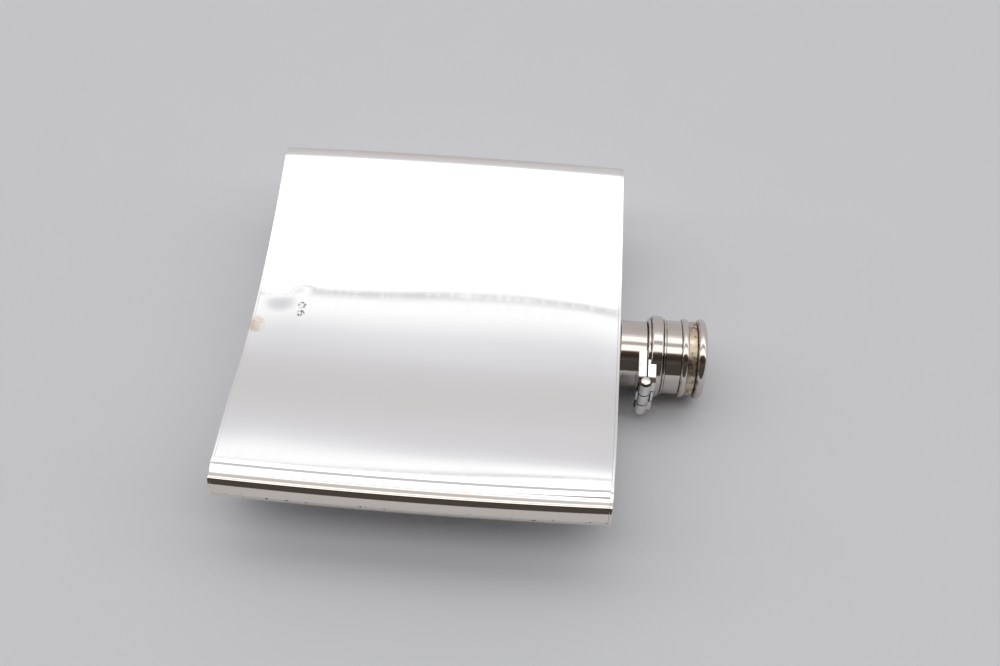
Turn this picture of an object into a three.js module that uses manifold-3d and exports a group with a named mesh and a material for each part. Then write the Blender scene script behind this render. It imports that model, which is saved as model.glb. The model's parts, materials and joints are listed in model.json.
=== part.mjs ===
// Curved silver hip flask lying on its convex back: a two-panel soldered body with end plates, and a neck
// that carries a turning sleeve, a hinge and a bayonet cap with a cork seal.
// Millimetres. +X runs from the base to the cap, +Y across the flask, away from the hinge, and +Z is up.
import * as THREE from "three";
import { mergeVertices } from "three/addons/utils/BufferGeometryUtils.js";
import Module from "manifold-3d";

const wasm = await Module();
wasm.setup();

// ---- Driving dimensions ----

// Body
const bodyLength = 95; // along the narrow sides, over both end plates
const bodyWidth = 108.6;
const bodyThickness = 21.6; // on the centre line
const concaveRadius = 207; // hollow of the upper face
const sideRadius = 5.7; // rounded narrow sides
const wall = 0.8;
const plateThickness = 0.8;
const sideBow = 0.85; // how far each narrow side swells at mid-length
const shoulderBulge = 1; // how far the shoulder swells on the centre line

// Gaps
const joinGap = 0.1; // solder line between fixed pieces
const runGap = 0.3; // between pieces that move past each other
const pinGap = 0.08; // hinge pin in its knuckles

// Neck, with heights measured from the middle of the shoulder
const neckRise = 0.3; // of the neck axis over the middle of the body's thickness
const neckRadius = 7.3;
const neckWall = 0.9;
const spigotLength = 4.5; // neck above the sleeve
const footWidth = 1.2; // flange under the shoulder plate, trimmed to the room inside
const footThickness = 0.8;

// Turning sleeve
const sleeveWall = 0.7;
const sleeveLength = 6.8;
const retainerLength = 1.4;
const collarWidth = 0.6; // how far the stop collar stands out of the neck
const collarLength = 1.2;

// Cap, whose rings stand on its barrel: each ring's height is how far it stands out, and its start is
// measured from the mouth of the cap
const capWall = 0.6;
const linerWall = 0.95;
const barrelLength = 12.6;
const lipRingHeight = 0.3;
const lipRingWidth = 0.7;
const bandHeight = 1;
const bandStart = 0.8;
const bandWidth = 3;
const bandEdge = 0.3; // chamfer
const filletRingHeight = 0.35;
const filletRingWidth = 0.7;
const beadHeight = 0.75;
const beadStart = 8.65;
const beadWidth = 1.8;
const topEdgeHeight = 0.85;
const topEdgeWidth = 2.4;
const topWall = 0.8;
const domeRise = 1.2;
const corkThickness = 7;

// Bayonet
const lugRadius = 0.8;
const lugHeight = 2.3; // above the sleeve
const turnAngle = 45; // degrees from the entry to the lock

// Hinge
const hingeReach = 5.3; // from the neck's wall to the pin
const pinSetback = 0.3; // of the pin behind the parting line of sleeve and cap
const knuckleRadius = 1.6;
const pinRadius = 0.6;
const pinHeadRadius = 1.15;
const pinHeadThickness = 0.35;
const barrelSpan = 15.1; // over both pin heads
const knuckleCount = 3;
const leafThickness = 2;
const leafFlare = 1.6; // how much each side of a strap widens from the pin to the neck axis

// Fineness
const turnSegments = 40;
const arcDivisions = 8; // an arc of an outline gets twice as many sides
const lengthSteps = 8;
const smallSegments = 20;

// ---- Sizes that follow ----

const halfWidth = bodyWidth / 2;
const sideCentreY = halfWidth - sideRadius;
const concaveCentreZ = bodyThickness + concaveRadius;
const sideCentreZ = concaveCentreZ - Math.sqrt((concaveRadius + sideRadius) ** 2 - sideCentreY ** 2);
const backRadius =
  (sideCentreY ** 2 + sideCentreZ ** 2 - sideRadius ** 2) / (2 * (sideCentreZ - sideRadius));
const shoulderX = bodyLength + shoulderBulge;
const neckAxisHeight = bodyThickness / 2 + neckRise;
const shoulderArcRadius = (halfWidth ** 2 + shoulderBulge ** 2) / (2 * shoulderBulge);

const sleeveStart = runGap;
const sleeveEnd = sleeveStart + sleeveLength;
const sleeveBore = neckRadius + joinGap + collarWidth + runGap;
const sleeveRadius = sleeveBore + sleeveWall;
const retainerEnd = sleeveStart + retainerLength;
const collarStart = retainerEnd + runGap;
const collarEnd = collarStart + collarLength;
const mouthHeight = sleeveEnd + spigotLength;
const hingeHeight = sleeveEnd + runGap / 2 - pinSetback;
const hingeOffset = neckRadius + hingeReach;

const capStart = sleeveEnd + runGap;
const capBarrelEnd = capStart + barrelLength;
const corkStart = mouthHeight + runGap;
const spigotAbovePin = mouthHeight - hingeHeight;
// The far edge of the swinging cap has to pass the far corner of the neck.
const swingClearance = spigotAbovePin ** 2 / (2 * (hingeOffset + neckRadius)) + runGap;
const linerBore = neckRadius + swingClearance;
const capBore = linerBore + linerWall + joinGap;
const capRadius = capBore + capWall;
const bandRadius = capRadius + bandHeight;
const linerEnd = corkStart - joinGap;
const lugReach = capBore - joinGap - runGap;
const lugCentre = sleeveEnd + lugHeight;
const overallLength = shoulderX + capBarrelEnd + joinGap + topEdgeWidth + domeRise;

// ---- Materials ----

const silver = (colour, roughness) =>
  new THREE.MeshStandardMaterial({ color: colour, roughness, metalness: 1 });
const bodySilver = () => silver(0xdcdcde, 0.12);
const capSilver = () => silver(0xd2cecb, 0.15);
const hingeSilver = () => silver(0xc9c5c0, 0.22);
const hiddenSilver = () => silver(0xb8b2a6, 0.35);
const cork = () => new THREE.MeshStandardMaterial({ color: 0xb58a5c, roughness: 0.9, metalness: 0 });

// ---- Geometry helpers ----

const degrees = (angle) => (angle * Math.PI) / 180;

const named = (name, geometry, material) => {
  const mesh = new THREE.Mesh(geometry, material);
  mesh.name = name;
  return mesh;
};

// A closed geometry as a solid that can be cut and joined.
const solidOf = (geometry) => {
  const bare = geometry.clone().deleteAttribute("normal").deleteAttribute("uv");
  const merged = mergeVertices(bare, 1e-4);
  const vertProperties = new Float32Array(merged.attributes.position.array);
  const triVerts = new Uint32Array(merged.index.array);
  return new wasm.Manifold(new wasm.Mesh({ numProp: 3, vertProperties, triVerts }));
};

const geometryOf = (solid) => {
  const { vertProperties, triVerts } = solid.getMesh();
  const geometry = new THREE.BufferGeometry();
  geometry.setAttribute("position", new THREE.BufferAttribute(vertProperties, 3));
  geometry.setIndex(new THREE.BufferAttribute(triVerts, 1));
  geometry.computeVertexNormals();
  return geometry;
};

const join = (...geometries) => geometryOf(geometries.map(solidOf).reduce((a, b) => a.add(b)));
const cut = (geometry, ...tools) =>
  geometryOf(tools.map(solidOf).reduce((rest, tool) => rest.subtract(tool), solidOf(geometry)));
const keepInside = (geometry, room) => geometryOf(solidOf(geometry).intersect(solidOf(room)));

// A solid of revolution about the neck axis: pairs of radius and height, anticlockwise, not closed.
const turned = (pairs) => {
  const points = [...pairs, pairs[0]].map(([radius, height]) => new THREE.Vector2(radius, height));
  return new THREE.LatheGeometry(points, turnSegments);
};

const tube = (bore, radius, start, end) =>
  turned([
    [bore, start],
    [radius, start],
    [radius, end],
    [bore, end],
  ]);

// Points of an arc as pairs, both ends included.
const arcPairs = (centre, radius, from, to, sides) =>
  Array.from({ length: sides + 1 }, (_, i) => {
    const angle = degrees(from + ((to - from) * i) / sides);
    return [centre[0] + radius * Math.cos(angle), centre[1] + radius * Math.sin(angle)];
  });

// A ring whose outside is a half-round bead of the given crest radius.
const beadedRing = (bore, root, crest, start, end) => {
  const rise = crest - root;
  const half = (end - start) / 2;
  const outside = arcPairs([0, 0], 1, -90, 90, 8).map(([x, y]) => [root + rise * x, start + half * (1 + y)]);
  return turned([[bore, start], ...outside, [bore, end]]);
};

// A round bar along Z, centred on a point of the XY plane.
const barAlongZ = (x, y, radius, low, high) =>
  new THREE.CylinderGeometry(radius, radius, high - low, smallSegments)
    .rotateX(Math.PI / 2)
    .translate(x, y, (low + high) / 2);

// ---- Body ----

// The outline's arcs, each moved inwards by an inset. Seen along X: local x is Y and local y is Z.
const sideToConcave = Math.atan2(concaveCentreZ - sideCentreZ, -sideCentreY);
const sideToBack = Math.atan2(sideCentreZ - backRadius, sideCentreY);

const addFrontArcs = (path, inset, seamAngle, reversed) => {
  const rightSide = [sideCentreY, sideCentreZ, sideRadius - inset, seamAngle, sideToConcave];
  const hollow = [0, concaveCentreZ, concaveRadius + inset, sideToConcave - Math.PI, -sideToConcave];
  const leftSide = [-sideCentreY, sideCentreZ, sideRadius - inset, Math.PI - sideToConcave, Math.PI - seamAngle];
  const arcs = [
    { arc: rightSide, clockwise: false },
    { arc: hollow, clockwise: true },
    { arc: leftSide, clockwise: false },
  ];
  addArcs(path, arcs, reversed);
};

const addBackArcs = (path, inset, seamAngle, reversed) => {
  const leftSide = [-sideCentreY, sideCentreZ, sideRadius - inset, Math.PI + seamAngle, Math.PI - sideToBack];
  const belly = [0, backRadius, backRadius - inset, -Math.PI - sideToBack, sideToBack];
  const rightSide = [sideCentreY, sideCentreZ, sideRadius - inset, sideToBack, -seamAngle];
  const arcs = [leftSide, belly, rightSide].map((arc) => ({ arc, clockwise: false }));
  addArcs(path, arcs, reversed);
};

const addArcs = (path, arcs, reversed) => {
  const ordered = reversed ? [...arcs].reverse() : arcs;
  for (const { arc, clockwise } of ordered) {
    const [x, y, radius, from, to] = arc;
    if (reversed) path.absarc(x, y, radius, to, from, !clockwise);
    else path.absarc(x, y, radius, from, to, clockwise);
  }
};

// A flat outline pushed along X from start to end.
const pushedAlongX = (shape, start, end, steps) => {
  const settings = { depth: end - start, steps, bevelEnabled: false, curveSegments: arcDivisions };
  const toBody = new THREE.Matrix4().makeBasis(
    new THREE.Vector3(0, 1, 0),
    new THREE.Vector3(0, 0, 1),
    new THREE.Vector3(1, 0, 0),
  );
  return new THREE.ExtrudeGeometry(shape, settings).applyMatrix4(toBody).translate(start, 0, 0);
};

// Swells the narrow sides at mid-length.
const swell = (geometry) => {
  const position = geometry.attributes.position;
  for (let i = 0; i < position.count; i++) {
    const along = (2 * position.getX(i)) / bodyLength - 1;
    const across = position.getY(i) / halfWidth;
    position.setY(i, position.getY(i) + sideBow * across * (1 - along ** 2));
  }
  return geometry;
};

// A thick slab that ends on the shoulder's curve, moved inwards by an inset. It lies on the far side
// of the curve when past is true, and on the body's side when it is false.
const shoulderSlab = (inset, past) => {
  const reach = bodyWidth;
  const radius = shoulderArcRadius - inset;
  const centreX = shoulderX - shoulderArcRadius;
  const spread = Math.asin(reach / shoulderArcRadius);
  const farX = past ? shoulderX + reach : -reach;
  const shape = new THREE.Shape();
  shape.absarc(centreX, 0, radius, -spread, spread, false);
  shape.lineTo(farX, radius * Math.sin(spread));
  shape.lineTo(farX, -radius * Math.sin(spread));
  const settings = { depth: bodyWidth, bevelEnabled: false, curveSegments: 2 * arcDivisions };
  return new THREE.ExtrudeGeometry(shape, settings).translate(0, 0, -halfWidth);
};

const panel = (addPanelArcs) => {
  const seamAngle = joinGap / (2 * (sideRadius - wall));
  const shape = new THREE.Shape();
  addPanelArcs(shape, 0, seamAngle, false);
  addPanelArcs(shape, wall, seamAngle, true);
  const sides = swell(pushedAlongX(shape, plateThickness + joinGap, shoulderX, lengthSteps));
  return cut(sides, shoulderSlab(plateThickness + joinGap, true));
};

const outline = (inset) => {
  const shape = new THREE.Shape();
  addFrontArcs(shape, inset, 0, false);
  addBackArcs(shape, inset, 0, false);
  return shape;
};

const basePlate = () => pushedAlongX(outline(0), 0, plateThickness, 1);

const shoulderPlate = () => {
  const shape = outline(0);
  const rim = arcPairs([0, neckAxisHeight], neckRadius + joinGap, 0, 360, turnSegments);
  shape.holes.push(new THREE.Path(rim.slice(1).map(([y, z]) => new THREE.Vector2(y, z))));
  const thick = pushedAlongX(shape, bodyLength - 2 * plateThickness, shoulderX + plateThickness, 1);
  return cut(thick, shoulderSlab(0, true), shoulderSlab(plateThickness, false));
};

// ---- Neck ----

const inNeckFrame = (geometry) =>
  geometry.translate(-shoulderX, 0, -neckAxisHeight).rotateZ(Math.PI / 2);

// The neck stands in the shoulder's hole, on a foot that is trimmed to clear the panels inside.
const neckTube = () => {
  const bore = neckRadius - neckWall;
  const footTop = -plateThickness - joinGap;
  const footBottom = footTop - footThickness;
  const lip = neckWall / 3;
  const pipe = turned([
    [bore, footTop],
    [neckRadius, footTop],
    [neckRadius, mouthHeight - lip],
    [neckRadius - lip, mouthHeight],
    [bore + lip, mouthHeight],
    [bore, mouthHeight - lip],
  ]);
  const room = inNeckFrame(pushedAlongX(outline(wall + runGap), 0, shoulderX, 1));
  const foot = keepInside(tube(bore, neckRadius + footWidth, footBottom, footTop), room);
  return join(pipe, foot);
};

const stopCollar = () => {
  const bore = neckRadius + joinGap;
  return tube(bore, bore + collarWidth, collarStart, collarEnd);
};

// A lug that stands out of the spigot; side is 1 for the upper one and -1 for the lower one.
const bayonetLug = (side) => {
  const low = neckRadius + joinGap;
  const bar = new THREE.CylinderGeometry(lugRadius, lugRadius, lugReach - low, smallSegments);
  return bar.rotateX(Math.PI / 2).translate(0, lugCentre, (side * (low + lugReach)) / 2);
};

// ---- Turning sleeve and its half of the hinge ----

const turningSleeve = () => {
  const flangeStart = collarEnd + runGap;
  return turned([
    [sleeveBore, sleeveStart],
    [sleeveRadius, sleeveStart],
    [sleeveRadius, sleeveEnd],
    [neckRadius + runGap, sleeveEnd],
    [neckRadius + runGap, flangeStart],
    [sleeveBore, flangeStart],
  ]);
};

const sleeveRetainer = () =>
  tube(neckRadius + runGap, sleeveBore - joinGap, sleeveStart, retainerEnd);

const halfBarrel = barrelSpan / 2 - pinHeadThickness - joinGap;
const knuckleSpan = (2 * halfBarrel) / knuckleCount;
const knuckleRange = (index) => {
  const low = -halfBarrel + index * knuckleSpan;
  return [low + joinGap / 2, low + knuckleSpan - joinGap / 2];
};

const knuckle = (index) => barAlongZ(hingeOffset, hingeHeight, knuckleRadius, ...knuckleRange(index));
const knuckleRoom = (index) => {
  const [low, high] = knuckleRange(index);
  return barAlongZ(hingeOffset, hingeHeight, knuckleRadius + runGap, low - joinGap, high + joinGap);
};
const pinHole = () =>
  barAlongZ(hingeOffset, hingeHeight, pinRadius + pinGap, -barrelSpan, barrelSpan);
const plug = (radius, start, end) =>
  turned([
    [0, start],
    [radius, start],
    [radius, end],
    [0, end],
  ]);

// A strap that narrows from the neck axis to the pin.
const flaredStrap = (low) => {
  const rootHalf = halfBarrel + leafFlare;
  const shape = new THREE.Shape();
  shape.moveTo(0, -rootHalf);
  shape.lineTo(hingeOffset, -halfBarrel);
  shape.lineTo(hingeOffset, halfBarrel);
  shape.lineTo(0, rootHalf);
  shape.closePath();
  const settings = { depth: leafThickness, bevelEnabled: false };
  const strap = new THREE.ExtrudeGeometry(shape, settings);
  return strap.rotateX(Math.PI / 2).translate(0, low + leafThickness, 0);
};

// A strap cut to the rings it is soldered to, with its own knuckles round the pin. It is cut clear of
// the other leaf's knuckles.
const hingeLeaf = (low, rings, ownKnuckles, otherKnuckles) => {
  const freed = cut(flaredStrap(low), ...rings, ...otherKnuckles.map(knuckleRoom));
  return cut(join(freed, ...ownKnuckles.map(knuckle)), pinHole());
};

const sleeveLeaf = () => {
  const ring = plug(sleeveRadius + joinGap, 0, capStart);
  return hingeLeaf(sleeveEnd - leafThickness, [ring], [1], [0, 2]);
};

const capLeaf = () => {
  const lip = plug(capRadius + lipRingHeight + joinGap, 0, capBarrelEnd);
  const band = plug(bandRadius + joinGap, capStart + bandStart - joinGap, capBarrelEnd);
  return hingeLeaf(capStart + joinGap, [lip, band], [0, 2], [1]);
};

const hingePin = () => {
  const headLow = barrelSpan / 2 - pinHeadThickness;
  const shaft = barAlongZ(hingeOffset, hingeHeight, pinRadius, -barrelSpan / 2, barrelSpan / 2);
  const topHead = barAlongZ(hingeOffset, hingeHeight, pinHeadRadius, headLow, barrelSpan / 2);
  const bottomHead = barAlongZ(hingeOffset, hingeHeight, pinHeadRadius, -barrelSpan / 2, -headLow);
  return join(shaft, topHead, bottomHead);
};

// ---- Cap ----

const capBarrel = () => tube(capBore, capRadius, capStart, capBarrelEnd);

// A half-round ring that stands on the barrel.
const barrelRing = (height, start, width) => {
  const bore = capRadius + joinGap;
  return beadedRing(bore, bore + joinGap, capRadius + height, start, start + width);
};

const lipRing = () => barrelRing(lipRingHeight, capStart, lipRingWidth);
const filletRing = () =>
  barrelRing(filletRingHeight, capStart + bandStart + bandWidth + joinGap, filletRingWidth);
const capBead = () => barrelRing(beadHeight, capStart + beadStart, beadWidth);

const capBand = () => {
  const bore = capRadius + joinGap;
  const start = capStart + bandStart;
  const end = start + bandWidth;
  return turned([
    [bore, start],
    [bandRadius - bandEdge, start],
    [bandRadius, start + bandEdge],
    [bandRadius, end - bandEdge],
    [bandRadius - bandEdge, end],
    [bore, end],
  ]);
};

// A stamped lid with a rolled edge and a low dome.
const capTop = () => {
  const start = capBarrelEnd + joinGap;
  const edgeEnd = start + topEdgeWidth;
  const rootRadius = capRadius + topEdgeHeight - topEdgeWidth / 2;
  const rolledEdge = arcPairs([rootRadius, start + topEdgeWidth / 2], topEdgeWidth / 2, -90, 90, 10);
  const domeSides = 6;
  const domeRadius = (rootRadius ** 2 + domeRise ** 2) / (2 * domeRise);
  const domeAngle = (Math.asin(rootRadius / domeRadius) * 180) / Math.PI;
  const domeCentre = [0, edgeEnd + domeRise - domeRadius];
  const dome = arcPairs(domeCentre, domeRadius, 90 - domeAngle, 90, domeSides).slice(1);
  return turned([
    [0, edgeEnd + domeRise - topWall],
    [capBore, edgeEnd - topWall],
    [capBore, start],
    ...rolledEdge,
    ...dome,
  ]);
};

const corkSeal = () => plug(capBore - runGap, corkStart, corkStart + corkThickness);

// The part of a ring between two angles about the neck axis, from the hinge side towards +Z.
const ringSector = (bore, radius, from, to, start, end) => {
  const shape = new THREE.Shape();
  shape.absarc(0, 0, radius, degrees(from), degrees(to), false);
  shape.absarc(0, 0, bore, degrees(to), degrees(from), true);
  const settings = { depth: end - start, bevelEnabled: false, curveSegments: arcDivisions };
  return new THREE.ExtrudeGeometry(shape, settings).rotateX(Math.PI / 2).translate(0, end, 0);
};

// The inner tube of the cap, with two L-shaped slots that the neck's lugs enter and turn in.
const bayonetLiner = () => {
  const start = capStart + joinGap;
  const radius = capBore - joinGap;
  const slotHalf = lugRadius + runGap;
  const entryHalf = slotHalf + swingClearance / 2;
  const liner = tube(linerBore, radius, start, linerEnd);
  const entryAngle = (Math.asin(entryHalf / linerBore) * 180) / Math.PI;
  const stopAngle = turnAngle + (Math.asin(slotHalf / linerBore) * 180) / Math.PI;
  const slots = [90, 270].flatMap((side) => [
    ringSector(linerBore - 1, radius + 1, side - entryAngle, side + entryAngle, start - 1, lugCentre + slotHalf),
    ringSector(
      linerBore - 1,
      radius + 1,
      side - stopAngle,
      side,
      lugCentre - slotHalf,
      lugCentre + slotHalf,
    ),
  ]);
  return cut(liner, ...slots);
};

// ---- Assembly ----

const body = new THREE.Group();
body.add(
  named("front_panel", panel(addFrontArcs), bodySilver()),
  named("back_panel", panel(addBackArcs), bodySilver()),
  named("base_plate", basePlate(), bodySilver()),
  named("shoulder_plate", shoulderPlate(), bodySilver()),
);

// In this group local Y is the neck axis and local X points to the hinge side.
const neck = new THREE.Group();
neck.position.set(shoulderX, 0, neckAxisHeight);
neck.rotation.z = -Math.PI / 2;
neck.add(
  named("neck_tube", neckTube(), hiddenSilver()),
  named("stop_collar", stopCollar(), hiddenSilver()),
  named("upper_lug", bayonetLug(1), hiddenSilver()),
  named("lower_lug", bayonetLug(-1), hiddenSilver()),
  named("turning_sleeve", turningSleeve(), capSilver()),
  named("sleeve_retainer", sleeveRetainer(), hiddenSilver()),
  named("sleeve_hinge_leaf", sleeveLeaf(), hingeSilver()),
  named("hinge_pin", hingePin(), hingeSilver()),
  named("cap_hinge_leaf", capLeaf(), hingeSilver()),
  named("cap_barrel", capBarrel(), capSilver()),
  named("cap_lip_ring", lipRing(), capSilver()),
  named("cap_band", capBand(), capSilver()),
  named("cap_fillet_ring", filletRing(), capSilver()),
  named("cap_bead", capBead(), capSilver()),
  named("cap_top", capTop(), capSilver()),
  named("bayonet_liner", bayonetLiner(), hiddenSilver()),
  named("cork_seal", corkSeal(), cork()),
);

const flask = new THREE.Group();
flask.add(body, neck);
flask.position.x = -overallLength / 2;

export default flask;
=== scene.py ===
import json
import math

import bpy
from bpy.props import FloatProperty, FloatVectorProperty, IntProperty, PointerProperty
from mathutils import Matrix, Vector


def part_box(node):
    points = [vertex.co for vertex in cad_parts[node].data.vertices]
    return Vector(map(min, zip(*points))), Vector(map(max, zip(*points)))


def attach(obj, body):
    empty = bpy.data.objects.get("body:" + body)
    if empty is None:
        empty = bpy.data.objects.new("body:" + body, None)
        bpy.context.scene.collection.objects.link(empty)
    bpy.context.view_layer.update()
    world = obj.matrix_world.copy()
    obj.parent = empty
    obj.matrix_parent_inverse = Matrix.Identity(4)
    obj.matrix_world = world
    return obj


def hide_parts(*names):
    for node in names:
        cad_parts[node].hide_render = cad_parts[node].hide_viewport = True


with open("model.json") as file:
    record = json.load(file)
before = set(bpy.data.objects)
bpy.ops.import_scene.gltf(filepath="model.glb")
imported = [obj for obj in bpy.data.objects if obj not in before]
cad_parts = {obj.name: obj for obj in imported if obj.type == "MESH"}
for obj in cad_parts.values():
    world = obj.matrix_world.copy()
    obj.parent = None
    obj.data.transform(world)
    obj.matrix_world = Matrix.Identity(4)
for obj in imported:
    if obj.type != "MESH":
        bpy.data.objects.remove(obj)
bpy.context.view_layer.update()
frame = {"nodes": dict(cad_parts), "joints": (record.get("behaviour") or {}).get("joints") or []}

bl_info = {
    "name": "Silver hip flask",
    "version": (1, 0, 0),
    "blender": (4, 5, 0),
    "location": "3D View > Sidebar > Flask",
    "description": "Builds the polished skins, rings, hinge and cork of a curved pocket flask",
    "category": "Object",
}

MM = 0.001
JOIN_GAP = 0.1 * MM
RUN_GAP = 0.3 * MM
PIN_GAP = 0.08 * MM
SIDE_RADIUS_MM = 5.7
TROUGH_BEND = 1.7
SHOULDER_STRIPS = 24
HOLE_REACH = 9 * MM
CORK_EDGE = 0.5 * MM

# Sides of the round tools that cut the rings, the neck's hole, the knuckles and the pin's bore.
RING_SIDES = 160
HOLE_SIDES = 120
KNUCKLE_SIDES = 64
BORE_SIDES = 32

# The light's colour ramp spans only the elevations that show, since it is sampled coarsely.
RAMP_FRONT = 155
RAMP_BACK = 25

# Worn places on the hollow face: along and across the flask, in millimetres.
STAIN = (-58.5, -6)
BRUSHED = (-54, 4.2)
PUNCHES = ((-47.4, 1.25), (-47.4, -1.35))
SECOND_DENT = (4.2, 3.4)
SECOND_DENT_SHARE = 0.6

# ---- Sizes read from the frame ----


def span(node, axis):
    """The lowest and highest place of a CAD node along one axis: 0, 1 or 2."""
    low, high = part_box(node)
    return low[axis], high[axis]


def turned_radius(node):
    """The radius of a CAD node that is round about the neck."""
    low, high = span(node, 1)
    return (high - low) / 2


JOINTS = {joint["name"]: joint for joint in frame["joints"]}
PIN = Vector(JOINTS["cap_swing"]["pos_m"])
NECK_AXIS_Z = JOINTS["bayonet_turn"]["pos_m"][2]

BASE_X, BASE_INNER_X = span("base_plate", 0)
PLATE = BASE_INNER_X - BASE_X
SHOULDER_X = span("shoulder_plate", 0)[1]
HALF_WIDTH = span("base_plate", 1)[1]
HOLLOW_UNDERSIDE_Z = span("front_panel", 2)[0]

SLEEVE_START, SLEEVE_END = span("turning_sleeve", 0)
SLEEVE_RADIUS = turned_radius("turning_sleeve")
SLEEVE_BORE = turned_radius("stop_collar") + RUN_GAP
SLEEVE_FLANGE_START = span("stop_collar", 0)[1] + RUN_GAP
NECK_END = span("neck_tube", 0)[1]
CAP_START, BARREL_END = span("cap_barrel", 0)
CAP_RADIUS = turned_radius("cap_barrel")
BAND_START, BAND_END = span("cap_band", 0)
BAND_RADIUS = turned_radius("cap_band")
CAP_BORE = turned_radius("bayonet_liner") + JOIN_GAP
PIN_LOW, PIN_HIGH = span("hinge_pin", 2)
PIN_HEAD_RADIUS = PIN[1] - span("hinge_pin", 1)[0]
KNUCKLE_RADIUS = PIN[1] - span("sleeve_hinge_leaf", 1)[0]

# ---- Sizes and colours that a user would change ----


def length(name, description, default):
    """A length property whose default is given in millimetres."""
    return FloatProperty(
        name=name, description=description, default=default * MM, precision=5, unit="LENGTH"
    )


def colour(name, description, default):
    return FloatVectorProperty(
        name=name, description=description, default=default, size=3, min=0, max=1, subtype="COLOR"
    )


def share(name, description, default):
    return FloatProperty(
        name=name, description=description, default=default, min=0, max=1, subtype="FACTOR"
    )


def angle(name, description, degrees):
    return FloatProperty(
        name=name, description=description, default=math.radians(degrees), subtype="ANGLE"
    )


def count(name, description, default):
    return IntProperty(name=name, description=description, default=default, min=1)


class FlaskBodyShape(bpy.types.PropertyGroup):
    wall: length("Wall", "Thickness of the two panels", 0.8)
    hollow_radius: length("Hollow radius", "Radius of the hollow upper face", 207)
    side_radius: length("Side radius", "Radius of the rounded narrow sides", SIDE_RADIUS_MM)
    side_bow: length("Side bow", "How far each narrow side swells at mid-length", 0.85)
    shoulder_bulge: length("Shoulder bulge", "How far the shoulder swells on the centre line", 1.0)
    seam_gap: length("Seam gap", "Open line between the two panels", 0.05)
    crest_height: length("Crest height", "Soft swelling of the hollow face on the hinge side", 0.8)
    crest_reach: length("Crest reach", "From the centre line to that swelling", 31.5)
    crest_start: length("Crest start", "From the centre line to where the swelling starts", 14)
    trough_depth: length("Trough depth", "Depth of the trough inside the hinge side", 1.4)
    trough_reach: length("Trough reach", "From the centre line to that trough", 50.2)
    trough_end: length("Trough end", "From the centre line to where the trough ends", 53)
    ripple: length("Ripple", "Height of the long hand-worked waves", 0.36)
    ripple_size: length("Ripple size", "Length of those waves", 45)
    swell_height: length("Swell height", "Rise beside the trough, by the shoulder", 0.35)
    swell_y: length("Swell across", "Place of that rise across the flask", -44)
    swell_width: length("Swell width", "Half the width of that rise", 12)
    dent_depth: length("Dent depth", "Depth of the dent near the base", 0.22)
    dent_radius: length("Dent radius", "Radius of that dent", 5.5)
    dent_x: length("Dent along", "Place of the dent along the flask", -53.6)
    dent_y: length("Dent across", "Place of the dent across the flask", 4.2)
    edge_round: length("Edge round", "Rounding of the end plates' rims", 0.22)
    across_steps: count("Steps across", "Sides of the hollow's arc", 96)
    side_steps: count("Steps round a side", "Sides of a narrow side's arc", 36)
    along_steps: count("Steps along", "Rows of each panel from base to shoulder", 56)


class FlaskNeckShape(bpy.types.PropertyGroup):
    neck_radius: length("Neck radius", "Outer radius of the neck", 7.3)
    neck_wall: length("Neck wall", "Wall of the neck", 0.9)
    foot_thickness: length("Foot thickness", "Flange of the neck under the shoulder", 0.8)
    band_edge: length("Band edge", "Chamfer of the cap's band", 0.3)
    top_edge: length("Top edge", "Width of the cap top's rolled edge", 2.4)
    top_wall: length("Top wall", "Thickness of the cap top", 0.8)
    edge_round: length("Edge round", "Rounding of turned corners", 0.12)
    leaf_thickness: length("Leaf thickness", "Thickness of the hinge straps", 2.0)
    leaf_flare: length("Leaf flare", "How much each side of a strap widens to the neck axis", 1.6)
    leaf_round: length("Leaf round", "Rounding of the straps and knuckles", 0.4)
    pin_radius: length("Pin radius", "Shaft of the hinge pin", 0.6)
    pin_head: length("Pin head", "Thickness of the hinge pin's heads", 0.35)
    knuckle_gap: length("Knuckle gap", "Open line between neighbouring knuckles", 0.22)
    turn_steps: count("Turn steps", "Sides of a turned piece", 120)


class FlaskFinish(bpy.types.PropertyGroup):
    body_silver: colour("Body silver", "Polished sheet silver", (0.95, 0.945, 0.94))
    cap_silver: colour("Cap silver", "Silver of the sleeve and cap", (0.7, 0.645, 0.61))
    hinge_silver: colour("Hinge silver", "Worn silver of the hinge", (0.88, 0.86, 0.83))
    inner_silver: colour("Inner silver", "Unpolished silver inside", (0.62, 0.58, 0.5))
    # Painted reflection shade: this colour darkens and warms the narrow sides in place of the
    # darker surroundings that they reflect.
    side_reflection_shade: colour("Side film", "Thin warm film on the narrow sides", (0.84, 0.78, 0.72))
    tarnish: colour("Tarnish", "Yellow-brown bloom on silver", (0.62, 0.45, 0.22))
    # This black serves as tarnish in the punches, seam pits, groove, ring corners and the hinge's
    # dark lines, and also as painted shade on the lower half of the sleeve and cap.
    tarnish_and_shade_black: colour("Dark tarnish", "Black bloom in corners and pits", (0.06, 0.045, 0.035))
    cork: colour("Cork", "Light grain of the cork", (0.46, 0.29, 0.15))
    cork_pore: colour("Cork pore", "Dark pores of the cork", (0.12, 0.06, 0.03))
    polish: share("Polish", "Roughness of the polished sheet", 0.04)
    wear: share("Wear", "Strength of the fine scratches", 0.25)


class FlaskStage(bpy.types.PropertyGroup):
    floor: colour("Floor", "Pale paper under the flask", (0.7, 0.71, 0.74))
    floor_size: length("Floor size", "Side of the square floor", 3000)
    light: FloatProperty(name="Light", description="Strength of the overhead softbox", default=1.6)
    eye: FloatVectorProperty(
        name="Eye",
        description="Place of the camera over the middle of the flask",
        default=(17.5 * MM, -170 * MM, 269.8 * MM),
        size=3,
        subtype="XYZ",
        unit="LENGTH",
    )
    tilt: angle("Tilt", "Camera's lean from straight down", 33.98)
    roll: angle("Roll", "Camera's sideways lean", -0.29)
    heading: angle("Heading", "Camera's turn about the upright", 4.71)
    lens: FloatProperty(name="Lens", description="Focal length in millimetres", default=41.71)


# ---- Steps of hand modelling ----


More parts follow.
